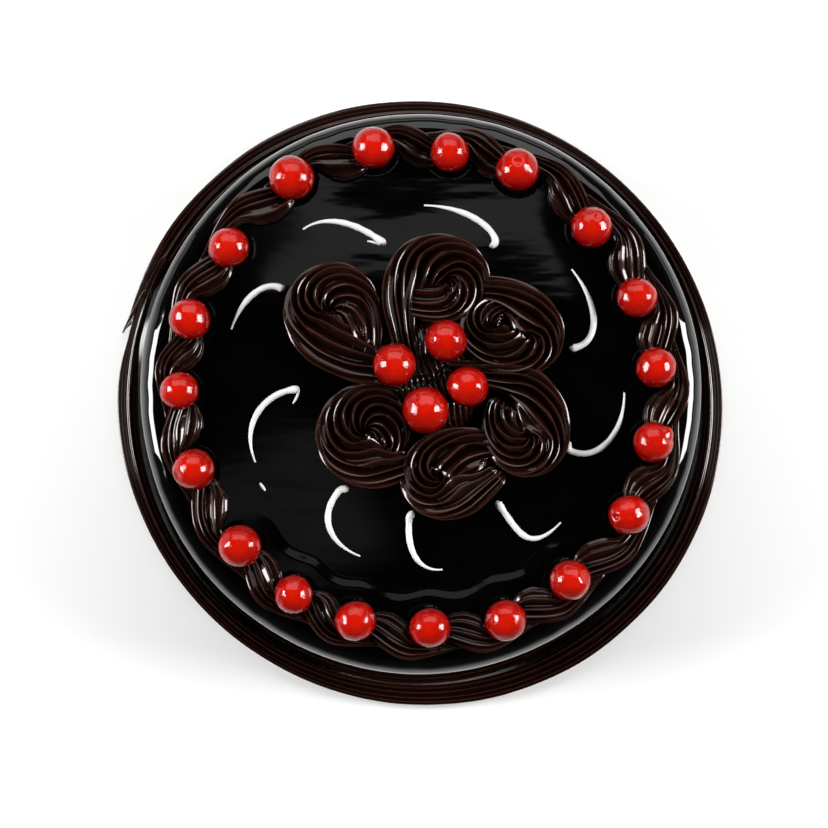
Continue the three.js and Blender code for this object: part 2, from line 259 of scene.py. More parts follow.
# The low mound of ganache in the heart of the flower
HEART = (4.2, 4.1)
HEART_RADIUS = 18.0
HEART_HEIGHT = 5.0
HEART_DEPTH = 2.0
HEART_SIDES = 264
HEART_RINGS = 30
HEART_UNEVEN = 0.03
HEART_UNEVEN_CYCLES = 6.0
# Its ridges: how far apart, how deep and how blunt they are, how they lean, and how far and fast they sway
HEART_RIDGE = 1.9
HEART_FLUTE = 0.6
HEART_RIDGE_POWER = 0.6
HEART_LEAN = 0.25
HEART_SWAY = 0.5
HEART_SWAY_RATE = 0.35

# Cherries in the heart of the flower: how far above the glaze they sit, and where and how wide each one is
HEART_SEAT = 3.6
HEART_CHERRIES = ((-8.2, 7.4, 13.9), (8.0, 15.1, 13.4), (14.8, 0.5, 13.2), (1.6, -6.8, 15.0))

# Cherries whose stem pit or bump shows: its azimuth, elevation, depth and spread, and how much longer the
# fruit is along it
RIM_MARKS = {2: (90, 76, 0.09, 0.17, 0.0), 3: (60, 60, 0.05, 0.2, 0.0), 6: (35, 25, -0.12, 0.32, 0.0),
             7: (190, 48, 0.1, 0.15, 0.1)}
HEART_MARKS = {0: (50, 20, 0.08, 0.22, 0.0), 3: (130, 50, 0.07, 0.14, 0.0)}
# The pit of any other cherry: the ranges of its azimuth, elevation and depth, its spread, and how much
# longer the fruit is along it
PIT_AZIMUTHS = (0, 360)
PIT_ELEVATIONS = (-20, 50)
PIT_DEPTHS = (0.02, 0.06)
PIT_SPREAD = 0.24
PIT_STRETCH = 0.03
# The lip round a pit: its height as a share of the depth, and how far out and how wide it is in spreads
LIP_SHARE = 0.3
LIP_AT = 1.6
LIP_WIDTH = 0.5
# The lumps of a cherry: the rate and share of each wave, the range of their phases, and how high they stand
CHERRY_LUMPS = ((2.0, 0.5), (3.0, 0.4), (5.0, 0.25), (7.0, 0.18), (9.0, 0.12))
LUMP_PHASES = (0.0, 6.3)
LUMP_HEIGHT = 0.02
CHERRY_FILL = 0.975
CHERRY_SQUASH = np.array([1.0, 1.0, 0.98])

# White curls: bearing and radius of the head, how far round the curl sweeps, the radius its tip reaches,
# how late it bends, how far the hook at its head turns, and the radius of that hook
CURLS = (
    (104.5, 49.2, 21.5, 63.8, 1.0, 60, 1.3), (143.5, 54, 18.5, 63.4, 2.0, 0, 1.3),
    (179.5, 39.5, 24.0, 57.2, 1.6, 40, 1.3), (231, 41.5, 19, 56, 2.0, 85, 2.4),
    (265, 41, 12, 57.3, 2.0, 85, 1.9), (304.5, 43.6, 12.2, 61.2, 4.0, 40, 1.4),
    (338, 51.5, 21.4, 64.9, 2.0, 150, 1.3), (15.5, 51, 23.3, 61.9, 2.3, 70, 1.3),
    (63.3, 53, 25.6, 59.3, 1.7, 95, 1.3))
CURL_WIDTH = 1.0
CURL_HEAD_WIDTH = 1.25
CURL_TIP_WIDTH = 0.3
CURL_STEPS = 70
CURL_SIDES = 18
CURL_HOOK_STEPS = 14
CURL_UNEVEN = 0.06
CURL_UNEVEN_CYCLES = 5.0
CURL_BLUNT = 2.5
# Lengths between which the thick head turns into the curl, and shares of its length between which it thins
# to its tip
HEAD_THINS = (0.5, 5.0)
TIP_THINS = (0.45, 1.0)
# Height of a bead of icing, and of its axis, for each of its half-widths
ICING_HEIGHT = 1.9
ICING_AXIS = 0.45

# Thin threads of icing, one of them a stray dash: start, heading, length, how far it turns, and half-width
THREADS = (
    ((-51.0, -29.4), -55, 3.2, 0, 0.5), ((-12.9, 46.6), 150, 4.6, 25, 0.4),
    ((-38.6, 0.4), -100, 5.4, -25, 0.42))
THREAD_END = 0.55

# The floor: how far it reaches, its level, and the distances in metres over which it turns greyer
FLOOR_REACH = 2500.0
FLOOR_LEVEL = -0.2
FLOOR_PALE = (0.2, 0.4)

# Lights that face the cake: azimuth, elevation, distance, width and height in metres, and radiance
SOFTBOXES = {
    "left_softbox": (176.0, 31.0, 1.6, 0.7, 0.7, 26.0),
    "right_softbox": (4.0, 31.0, 1.6, 0.7, 0.7, 26.0),
    "back_panel": (90.0, 40.0, 1.8, 2.2, 1.2, 2.0),
    "left_wall": (165.0, 5.0, 1.8, 1.6, 0.3, 1.0),
    "back_wall": (90.0, 5.0, 1.8, 2.0, 0.3, 1.0),
    "right_wall": (15.0, 5.0, 1.8, 1.6, 0.3, 1.0),
}

# A dim panel that faces straight down: width and height, radiance and place, in metres
OVERHEAD_SIZE = (0.24, 0.075)
OVERHEAD_RADIANCE = 0.5
OVERHEAD_PLACE = (0.0, 0.229, 1.5)

# A faint bright haze on the ceiling: the direction it lies in, how far it spreads and how bright it is
HAZE_TOWARD = (-0.042, 0.02, 0.999)
HAZE_REACH = 0.05
HAZE_BRIGHT = 0.2

# The camera: degrees from straight down, distance and width of the picture in metres, and where it aims
CAMERA_TILT = 3.1
CAMERA_DISTANCE = 0.9
FRAME_WIDTH = 0.283
AIM = (-0.00205, -0.0041)


def mix(a, b, t):
    return a + (b - a) * t


def smooth(value, low, high):
    t = np.clip((np.asarray(value, float) - low) / (high - low), 0.0, 1.0)
    return t * t * (3.0 - 2.0 * t)


def polar(radius, bearing):
    angle = np.radians(bearing)
    return np.stack([radius * np.cos(angle), radius * np.sin(angle)], axis=-1)


def oval(amount, oval_bearing, bearing):
    """What a slightly oval ring adds to its radius at a bearing."""
    return amount * np.cos(np.radians(2.0 * (bearing - oval_bearing)))


def wobble(along, seed, cycles):
    """A smooth uneven wave between about -1 and 1 along 0 to 1, different for every seed."""
    rng = np.random.default_rng(seed)
    rates = cycles * rng.uniform(*WOBBLE_RATES, WOBBLE_SINES)
    phases = rng.uniform(0.0, 2.0 * np.pi, WOBBLE_SINES)
    total = np.zeros_like(np.asarray(along, float))
    for rate, phase in zip(rates, phases):
        total += np.sin(2.0 * np.pi * rate * along + phase)
    return total / (WOBBLE_SHARE * WOBBLE_SINES)


def headings_of(points):
    """Heading of each point of a path, in radians."""
    step = np.gradient(points, axis=0)
    return np.arctan2(step[:, 1], step[:, 0])


def star_section(seed):
    """Angles of the skin of a star bead, and how deep it lies there: 0 on a crest, about 1 in a flute."""
    rng = np.random.default_rng(seed)
    tooth = 2.0 * np.pi / TEETH
    crests = tooth * (np.arange(TEETH) + rng.uniform(-TOOTH_UNEVEN, TOOTH_UNEVEN, TEETH))
    spans = np.diff(np.append(crests, crests[0] + 2.0 * np.pi))
    from_crest = 2.0 * np.minimum(TOOTH_PHASES, 1.0 - TOOTH_PHASES)
    full_depth = math.hypot(1.0, CREST_ROUND) - CREST_ROUND
    rounded = (np.hypot(from_crest, CREST_ROUND) - CREST_ROUND) / full_depth
    flute = 1.0 - (1.0 - rounded) ** FLUTE_POWER
    depths = 1.0 + rng.uniform(-FLUTE_UNEVEN, FLUTE_UNEVEN, TEETH)
    angles = crests[:, None] + spans[:, None] * TOOTH_PHASES[None, :]
    return angles.ravel(), (depths[:, None] * flute[None, :]).ravel()


def shell_section(seed):
    """The star of a shell, which the nozzle smeared nearly smooth on the inner flank."""
    angles, depth = star_section(seed)
    return angles, depth * mix(1.0, SHELL_INNER_FLUTE, smooth(np.sin(angles), *SHELL_FLANK))


def round_section(sides):
    return np.arange(sides) * 2.0 * np.pi / sides, np.zeros(sides)


def bead_rings(points, left, right, heights, axis_heights, rolls, section, flutes):
    """Rings of a bead laid along a path.

    Every point has its half-widths, height, height of the axis, roll and depth of the flutes.
    """
    angles, depth = section
    headings = headings_of(points)
    turn = angles[None, :] + rolls[:, None]
    cut = flutes[:, None] * depth[None, :]
    widths = np.where(np.sin(turn) > 0.0, right[:, None], left[:, None])
    across = (widths - cut) * np.sin(turn)
    up = axis_heights[:, None] + (0.5 * heights[:, None] - cut) * np.cos(turn)
    x = points[:, 0, None] + across * np.sin(headings)[:, None]
    y = points[:, 1, None] - across * np.cos(headings)[:, None]
    return np.stack([x, y, up], axis=-1)


def nose(along):
    """Rounds the end of a bead: 0 at its tip, 1 from a nose's length on."""
    share = np.clip(along / NOSE, NOSE_TIP, 1.0)
    return np.sqrt(1.0 - (1.0 - share) ** 2)


def skinned(rings):
    """Vertices and faces of a closed skin over a row of rings."""
    count, sides, _ = rings.shape
    first = count * sides
    vertices = np.concatenate([rings.reshape(-1, 3), rings[0].mean(0)[None], rings[-1].mean(0)[None]])
    row = np.arange(count - 1)[:, None] * sides
    here = np.arange(sides)[None, :]
    after = (np.arange(sides)[None, :] + 1) % sides
    quads = np.stack([row + here, row + after, row + sides + after, row + sides + here], axis=-1)
    last_row = (count - 1) * sides
    faces = quads.reshape(-1, 4).tolist()
    faces += [(first, (j + 1) % sides, j) for j in range(sides)]
    faces += [(first + 1, last_row + j, last_row + (j + 1) % sides) for j in range(sides)]
    return vertices, faces


def link_object(name, data):
    """Puts a mesh, light or camera in the scene as an object."""
    made = bpy.data.objects.new(name, data)
    bpy.context.scene.collection.objects.link(made)
    return made


def add_object(name, vertices, faces):
    mesh = bpy.data.meshes.new(name)
    mesh.from_pydata((np.asarray(vertices) * MM).tolist(), [], faces)
    mesh.update()
    return link_object(name, mesh)


def mesh_from(form, name):
    """Turns a form that is being edited into a mesh, and frees it."""
    mesh = bpy.data.meshes.new(name)
    form.to_mesh(mesh)
    form.free()
    return mesh


def combine(made, others, operation):
    """Joins or cuts an object by others, which are then removed."""
    for other in others:
        modifier = made.modifiers.new("combine", "BOOLEAN")
        modifier.object = other
        modifier.operation = operation
        modifier.solver = "MANIFOLD"
    bpy.context.view_layer.update()
    depsgraph = bpy.context.evaluated_depsgraph_get()
    result = bpy.data.meshes.new_from_object(made.evaluated_get(depsgraph))
    made.modifiers.clear()
    before = made.data
    made.data = result
    bpy.data.meshes.remove(before)
    for other in others:
        bpy.data.objects.remove(other)


def finish_piece(made, material, nodes, sharp_angle=60.0):
    """Shades a piece and puts it in the place of its solids."""
    made.data.materials.clear()
    made.data.materials.append(material)
    made.data.shade_smooth()
    made.data.set_sharp_from_angle(angle=math.radians(sharp_angle))
    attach(made, "root")
    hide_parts(*nodes)


def floor_cutter(level):
    """A block that takes away all that lies below a level."""
    reach = 140.0
    depth = 60.0
    corners = [(x, y, z) for z in (level - depth, level) for y in (-reach, reach) for x in (-reach, reach)]
    faces = [(0, 2, 3, 1), (4, 5, 7, 6), (0, 1, 5, 4), (2, 6, 7, 3), (0, 4, 6, 2), (1, 3, 7, 5)]
    return add_object("cutter", corners, faces)


def ball_cutter(centre, diameter):
    ball = bmesh.new()
    bmesh.ops.create_icosphere(ball, subdivisions=BALL_FINENESS, radius=0.5 * diameter * MM)
    bmesh.ops.translate(ball, vec=[c * MM for c in centre], verts=ball.verts)
    return link_object("cutter", mesh_from(ball, "cutter"))


def seat_cutter():
    """The body just below its glaze, which trims the underside of what is piped on its rim."""
    arc_points = 10
    bearing_step = 2.0
    arc = np.linspace(0.5 * np.pi, 0.0, arc_points)
    corner = SHOULDER - SUNK
    radii = np.concatenate([[TOP_RADIUS - SUNK], TOP_RADIUS - SHOULDER + corner * np.sin(arc)])
    levels = np.concatenate([[0.5 * HEIGHT], HEIGHT - SHOULDER + corner * np.cos(arc)])
    places = polar(radii[:, None], np.arange(0.0, 360.0, bearing_step)[None, :])
    up = np.broadcast_to(levels[:, None, None], places.shape[:2] + (1,))
    return add_object("cutter", *skinned(np.concatenate([places, up], axis=-1)))


# Places of the cherries

def rim_cherry(index):
    """Centre and diameter of a cherry of the rim."""
    bearing, radius, diameter = RIM_CHERRIES[index % len(RIM_CHERRIES)]
    x, y = polar(radius, bearing)
    return (x, y, HEIGHT + GAP + 0.5 * diameter), diameter


def heart_cherry(index):
    """Centre and diameter of a cherry in the heart of the flower."""
    x, y, diameter = HEART_CHERRIES[index]
    return (x, y, HEIGHT + HEART_SEAT + 0.5 * diameter), diameter


def seat_in_heart(made):
    """Trims the underside of what is piped in the flower, and what the cherries of the heart take up."""
    cutters = [floor_cutter(HEIGHT - SUNK)]
    for index in range(len(HEART_CHERRIES)):
        centre, diameter = heart_cherry(index)
        cutters.append(ball_cutter(centre, diameter - GAP))
    combine(made, cutters, "DIFFERENCE")


# Materials

def new_material(name):
    material = bpy.data.materials.new(name)
    material.use_nodes = True
    nodes = material.node_tree.nodes
    shader = nodes["Principled BSDF"] if "Principled BSDF" in nodes else nodes.new("ShaderNodeBsdfPrincipled")
    return material, nodes, material.node_tree.links, shader


def noise(nodes, links, scale, detail=3.0, roughness=0.5):
    """Noise over the object's own coordinates; scale is in cycles a metre."""
    place = nodes.new("ShaderNodeTexCoord")
    texture = nodes.new("ShaderNodeTexNoise")
    texture.inputs["Scale"].default_value = scale
    texture.inputs["Detail"].default_value = detail
    texture.inputs["Roughness"].default_value = roughness
    links.new(place.outputs["Object"], texture.inputs["Vector"])
    return texture


def ramp(nodes, links, source, stops):
    """Colours from a value between 0 and 1."""
    node = nodes.new("ShaderNodeValToRGB")
    elements = node.color_ramp.elements
    for element, (place, colour) in zip(elements, (stops[0], stops[-1])):
        element.position = place
        element.color = (*colour, 1.0)
    for place, colour in stops[1:-1]:
        elements.new(place).color = (*colour, 1.0)
    links.new(source, node.inputs["Fac"])
    return node.outputs["Color"]


def uneven_gloss(nodes, links, shader, scale, detail, low, high):
    """Roughness that varies between low and high over the surface."""
    gloss = noise(nodes, links, scale, detail)
    node = nodes.new("ShaderNodeMapRange")
    node.inputs["To Min"].default_value = low
    node.inputs["To Max"].default_value = high
    links.new(gloss.outputs["Fac"], node.inputs["Value"])
    links.new(node.outputs["Result"], shader.inputs["Roughness"])


def bump(nodes, links, height, strength, distance):
    """Normals of a finely uneven surface; distance is in metres."""
    node = nodes.new("ShaderNodeBump")
    node.inputs["Strength"].default_value = strength
    node.inputs["Distance"].default_value = distance
    links.new(height, node.inputs["Height"])
    return node.outputs["Normal"]


def glaze_material():
    """Nearly black, with faint long streaks."""
    material, nodes, links, shader = new_material("mirror_glaze")
    tint = noise(nodes, links, scale=40.0)
    stops = [(0.3, (0.0004, 0.0003, 0.0003)), (0.7, (0.0010, 0.0007, 0.0006))]
    links.new(ramp(nodes, links, tint.outputs["Fac"], stops), shader.inputs["Base Color"])
    uneven_gloss(nodes, links, shader, scale=90.0, detail=4.0, low=0.02, high=0.07)
    streaks = noise(nodes, links, scale=30.0, detail=3.5, roughness=0.56)
    stretch = nodes.new("ShaderNodeMapping")
    stretch.inputs["Scale"].default_value = (0.35, 1.6, 1.0)
    stretch.inputs["Rotation"].default_value = (0.0, 0.0, math.radians(20.0))
    links.new(streaks.inputs["Vector"].links[0].from_socket, stretch.inputs["Vector"])
    links.new(stretch.outputs["Vector"], streaks.inputs["Vector"])
    uneven = bump(nodes, links, streaks.outputs["Fac"], strength=0.11, distance=0.001)
    links.new(uneven, shader.inputs["Normal"])
    shader.inputs["IOR"].default_value = 1.47
    return material


def ganache_material():
    """Painted shade darkens the flutes and a painted highlight makes the crests paler, by how sharply the
    surface bends.
    """
    material, nodes, links, shader = new_material("piped_ganache")
    shape = nodes.new("ShaderNodeNewGeometry")
    blotch = noise(nodes, links, scale=130.0, detail=4.0)
    crest = nodes.new("ShaderNodeMath")
    crest.operation = "MULTIPLY_ADD"
    links.new(blotch.outputs["Fac"], crest.inputs[0])
    crest.inputs[1].default_value = CREST_BLOTCH
    links.new(shape.outputs["Pointiness"], crest.inputs[2])
    along = nodes.new("ShaderNodeMapRange")
    along.inputs["From Min"].default_value = FLUTE_POINT + 0.5 * CREST_BLOTCH
    along.inputs["From Max"].default_value = CREST_POINT + 0.5 * CREST_BLOTCH
    links.new(crest.outputs["Value"], along.inputs["Value"])
    # Painted shade in the flutes, through to a painted highlight along the crests
    stops = [(0.0, (0.003, 0.0006, 0.0004)), (0.5, (0.0075, 0.0016, 0.001)), (0.8, (0.016, 0.0042, 0.0028)),
             (1.0, (0.03, 0.0105, 0.0075))]
    links.new(ramp(nodes, links, along.outputs["Result"], stops), shader.inputs["Base Color"])
    uneven_gloss(nodes, links, shader, scale=260.0, detail=3.0, low=0.22, high=0.34)
    grain = noise(nodes, links, scale=700.0, detail=3.0)
    uneven = bump(nodes, links, grain.outputs["Fac"], strength=0.08, distance=0.0004)
    links.new(uneven, shader.inputs["Normal"])
    shader.inputs["IOR"].default_value = 1.45
    shader.inputs["Specular IOR Level"].default_value = 0.12
    shader.inputs["Specular Tint"].default_value = (1.0, 0.7, 0.62, 1.0)
    shader.inputs["Coat Weight"].default_value = 0.75
    shader.inputs["Coat Roughness"].default_value = 0.08
    return material


def cherry_material():
    """Painted light and shade in the base colour: bright on top, and a painted shade of deep crimson low
    down, where the fruit sits in its own shade.
    """
    material, nodes, links, shader = new_material("candied_cherry")
    tint = noise(nodes, links, scale=150.0, detail=4.0)
    split = nodes.new("ShaderNodeSeparateXYZ")
    links.new(nodes.new("ShaderNodeTexCoord").outputs["Generated"], split.inputs["Vector"])
    level = nodes.new("ShaderNodeMath")
    level.operation = "MULTIPLY_ADD"
    links.new(tint.outputs["Fac"], level.inputs[0])
    level.inputs[1].default_value = 0.3
    links.new(split.outputs["Z"], level.inputs[2])
    share = nodes.new("ShaderNodeMapRange")
    share.inputs["From Min"].default_value = 0.6
    share.inputs["From Max"].default_value = 1.15
    links.new(level.outputs["Value"], share.inputs["Value"])
    # Painted shade low on the fruit and painted light on its top, by height, with a random tone over it
    stops = [(0.0, (0.035, 0.0003, 0.0003)), (0.45, (0.17, 0.0011, 0.0006)), (1.0, (0.42, 0.0062, 0.0016))]
    links.new(ramp(nodes, links, share.outputs["Result"], stops), shader.inputs["Base Color"])
    uneven_gloss(nodes, links, shader, scale=300.0, detail=3.0, low=0.2, high=0.35)
    skin = noise(nodes, links, scale=360.0, detail=4.0, roughness=0.6)
    uneven = bump(nodes, links, skin.outputs["Fac"], strength=0.26, distance=0.0007)
    links.new(uneven, shader.inputs["Normal"])
    links.new(uneven, shader.inputs["Coat Normal"])
    shader.inputs["Subsurface Weight"].default_value = 0.2
    shader.inputs["Subsurface Radius"].default_value = (1.0, 0.08, 0.04)
    shader.inputs["Subsurface Scale"].default_value = 0.001
    shader.inputs["Specular IOR Level"].default_value = 0.0
    shader.inputs["Coat Weight"].default_value = 1.0
    shader.inputs["Coat Roughness"].default_value = 0.03
    shader.inputs["Coat IOR"].default_value = 1.43
    return material


def icing_material():
    material, nodes, links, shader = new_material("white_icing")
    tint = noise(nodes, links, scale=300.0, detail=3.0)
    stops = [(0.3, (0.56, 0.555, 0.54)), (0.7, (0.62, 0.615, 0.605))]
    links.new(ramp(nodes, links, tint.outputs["Fac"], stops), shader.inputs["Base Color"])
    uneven_gloss(nodes, links, shader, scale=500.0, detail=2.0, low=0.28, high=0.42)
    return material


def floor_material():
    """Pale round the cake, and greyer away from it."""
    material, nodes, links, shader = new_material("pale_floor")
    place = nodes.new("ShaderNodeTexCoord")
    away = nodes.new("ShaderNodeVectorMath")
    away.operation = "LENGTH"
    links.new(place.outputs["Object"], away.inputs[0])
    share = nodes.new("ShaderNodeMapRange")
    share.interpolation_type = "SMOOTHSTEP"
    share.inputs["From Min"].default_value = FLOOR_PALE[0]
    share.inputs["From Max"].default_value = FLOOR_PALE[1]
    links.new(away.outputs["Value"], share.inputs["Value"])
    stops = [(0.0, (0.82, 0.82, 0.815)), (1.0, (0.22, 0.22, 0.22))]
    links.new(ramp(nodes, links, share.outputs["Result"], stops), shader.inputs["Base Color"])
    shader.inputs["Roughness"].default_value = 0.6
    return material


GLAZE = glaze_material()
GANACHE = ganache_material()
CHERRY = cherry_material()
ICING = icing_material()


# The glazed body

def top_swell(x, y):
    """How far the glaze stands above its level.

    It has faint waves, a pool along the front of the rim and a collar round each cherry.
    """
    waves = [np.sin(along_x * x + along_y * y + phase) for along_x, along_y, phase in TOP_WAVES]
    swell = TOP_WAVE * sum(waves)
    bearing = np.degrees(np.arctan2(y, x))
    edge = np.full(np.shape(x), POOL_RADIUS)
    for index, cherry_bearing in enumerate(RIM_BEARINGS):
        (cx, cy, _), diameter = rim_cherry(index)
        beyond = np.hypot(x - cx, y - cy) - 0.5 * diameter
        rise = np.clip(1.0 - beyond / COLLAR_REACH, 0.0, 1.0) ** COLLAR_POWER
        swell = swell + COLLAR_HEIGHT * rise * smooth(beyond, *COLLAR_UNDER)
        apart = (bearing - cherry_bearing + 180.0) % 360.0 - 180.0
        edge = edge - POOL_SWING * np.exp(-((apart / POOL_SPREAD) ** 2))
    front = smooth(-np.sin(np.radians(bearing)), *POOL_FRONT)
    return swell + POOL_HEIGHT * front * np.clip((np.hypot(x, y) - edge) / POOL_WIDTH + 0.5, 0.0, 1.0)


def glaze_body():
    """Rings from the middle of the top over the shoulder and down the wall to the middle of the base."""
    flat_end = TOP_RADIUS - SHOULDER
    coarse = np.arange(COARSE_RING, FINE_FROM, COARSE_RING)
    flat = np.concatenate([coarse, np.arange(FINE_FROM, flat_end, FINE_RING)])
    arc = np.linspace(0.0, 0.5 * np.pi, SHOULDER_RINGS)
    wall = np.linspace(0.0, 1.0, WALL_RINGS)[1:]
    wall_top = HEIGHT - SHOULDER
    radii = np.concatenate([flat, flat_end + SHOULDER * np.sin(arc), mix(TOP_RADIUS, BASE_RADIUS, wall)])
    levels = np.concatenate([np.full(len(flat), HEIGHT), wall_top + SHOULDER * np.cos(arc),
                             mix(wall_top, 0.0, wall)])
    flat_share = np.concatenate([np.ones(len(flat)), np.cos(arc) ** 2, np.zeros(len(wall))])
    turn = np.arange(BODY_SIDES) / BODY_SIDES
    bearing = 360.0 * turn
    waves = [share * np.sin(np.radians(count * bearing + phase)) for count, phase, share in WALL_WAVES]
    sway = WALL_WAVE * sum(waves)
    drip = SHOULDER_DRIP * wobble(turn, DRIP_SEED, DRIP_CYCLES)
    # 1 in the middle of the shoulder and 0 at its two edges
    bent = 4.0 * flat_share * (1.0 - flat_share)
    spread = radii[:, None] + (1.0 - flat_share)[:, None] * sway[None, :] + bent[:, None] * drip
    places = polar(spread, bearing[None, :])
    up = levels[:, None] + flat_share[:, None] * top_swell(places[..., 0], places[..., 1])
    rings = np.concatenate([places, up[..., None]], axis=-1)[::-1]
    return add_object("glaze_body", *skinned(rings[:, ::-1]))


finish_piece(glaze_body(), GLAZE, ["cake_body"])


# The white curls

def icing_bead(points, widths):
    """Vertices and faces of a round bead of icing that lies along a path on the glaze."""
    level = np.zeros(len(points))
    axis_heights = HEIGHT + ICING_AXIS * widths
    return skinned(bead_rings(points, widths, widths, ICING_HEIGHT * widths, axis_heights, level,
                              round_section(CURL_SIDES), level))


def curl_course(bearing, head, sweep, tip, late, hook, hook_radius):
    """Points of a curl from the hook at its head to its thin tip."""
    t = np.linspace(0.0, 1.0, CURL_STEPS)
    points = polar(mix(head, tip, np.sin(0.5 * np.pi * t)), bearing + sweep * t**late)
    if not hook:
        return points
    toward = points[1] - points[0]
    heading = math.atan2(toward[1], toward[0])
    side = math.copysign(1.0, hook)
    middle = points[0] + side * hook_radius * np.array([-math.sin(heading), math.cos(heading)])
    turned = np.linspace(math.radians(hook), 0.0, CURL_HOOK_STEPS, endpoint=False)
    angle = heading - side * 0.5 * np.pi - turned
    bend = middle + hook_radius * np.stack([np.cos(angle), np.sin(angle)], axis=-1)
    return np.concatenate([bend, points])


def curl_parts(index):
    points = curl_course(*CURLS[index])
    steps = np.hypot(*np.diff(points, axis=0).T)
    along = np.append(0.0, np.cumsum(steps))
    t = along / along[-1]
    uneven = 1.0 + CURL_UNEVEN * wobble(t, CURL_SEED + index, CURL_UNEVEN_CYCLES)
    thick = mix(CURL_HEAD_WIDTH, CURL_WIDTH, smooth(along, *HEAD_THINS)) * uneven
    widths = mix(thick, CURL_TIP_WIDTH, smooth(t, *TIP_THINS)) * nose(CURL_BLUNT * along)
    return icing_bead(points, widths)


def thread_parts(start, heading, length, turn, width):
    t = np.linspace(0.0, 1.0, CURL_HOOK_STEPS)
    steps = polar(length / CURL_HOOK_STEPS, heading + turn * t)
    points = np.array(start) + np.cumsum(steps, axis=0) - steps[0]
    return icing_bead(points, width * mix(THREAD_END, 1.0, np.sin(np.pi * t)))


def white_curls():
    vertices, faces = [], []
    parts = [curl_parts(index) for index in range(len(CURLS))] + [thread_parts(*thread) for thread in THREADS]
    for part_vertices, part_faces in parts:
        start = sum(len(v) for v in vertices)
        vertices.append(part_vertices)
        faces += [tuple(start + i for i in face) for face in part_faces]
    return add_object("white_curls", np.concatenate(vertices), faces)


finish_piece(white_curls(), ICING, ["cake_body"])


# The rope round the foot

def rope_rings():
    """The rope from its thin start, once round clockwise, to its end on the inner side of the start."""
    total = 360.0 + SEAM_LAP
    turned = np.arange(0.0, total, ROPE_STEP)
    t = turned / total
    bearing = SEAM_BEARING - turned
    begin = smooth(turned, *START_SWELLS)
    past_tip = smooth(turned, 0.0, TIP_REACH)
    closing = smooth(turned, END_THINS, total)
    pinch = np.exp(-(((turned - PINCH_AT) / PINCH_SPREAD) ** 2))
    uneven = 1.0 + ROPE_UNEVEN * wobble(t, ROPE_SIZE_SEED, ROPE_UNEVEN_CYCLES) - PINCH_SHARE * pinch
    size = mix(END_SIZE, 1.0, begin) * mix(1.0, END_SIZE, closing) * uneven
    size = size * mix(TIP_SIZE, 1.0, past_tip)
    size = size * nose(np.radians(total - turned) * ROPE_RADIUS)
    outward = START_OUTWARD * (1.0 - begin) + TIP_OUTWARD * (1.0 - past_tip) - END_INWARD * closing
    stretched = 0.5 * oval(ROPE_OVAL, ROPE_OVAL_BEARING, bearing)
    points = polar(ROPE_RADIUS + outward + stretched, bearing)
    widths = (ROPE_HALF_WIDTH + stretched) * size
    heights = ROPE_HEIGHT / ROPE_TOP_SHARE * size
    axis_heights = ROPE_AXIS_SHARE * ROPE_HEIGHT * mix(START_AXIS, 1.0, begin) + END_RISE * closing
    rolls = np.radians(ROPE_ROLL + ROPE_ROLL_SWING * wobble(t, ROPE_ROLL_SEED, ROPE_ROLL_CYCLES))
    rings = bead_rings(points, widths, widths, heights, axis_heights, rolls, star_section(ROPE_STAR_SEED),
                       ROPE_FLUTE * np.minimum(size, 1.0))
    rings[..., 2] = np.maximum(rings[..., 2], 0.0)
    return rings


def rope_thread():
    """A thin thread that the nozzle left on the seam of the rope, hooked at its end."""
    start, heading, length, turn, width, level = ROPE_THREAD
    t = np.linspace(0.0, 1.0, ROPE_THREAD_STEPS)
    steps = polar(length / len(t), heading + turn * smooth(t, *ROPE_THREAD_TURNS))
    points = np.array(start) + np.cumsum(steps, axis=0)
    widths = np.full(len(t), width) * nose(ROPE_THREAD_BLUNT * length * (1.0 - t))
    plain = np.zeros(len(t))
    rings = bead_rings(points, widths, widths, 2.0 * widths, np.full(len(t), level), plain,
                       round_section(ROPE_THREAD_SIDES), plain)
    return add_object("thread", *skinned(rings))


def rope_piping():
    rings = rope_rings()
    half = len(rings) // 2
    made = add_object("foot_rope_piping", *skinned(rings[: half + 1]))
    combine(made, [add_object("half", *skinned(rings[half:])), rope_thread()], "UNION")
    return made


finish_piece(rope_piping(), GANACHE, ["foot_rope"])


# The shells of the rim

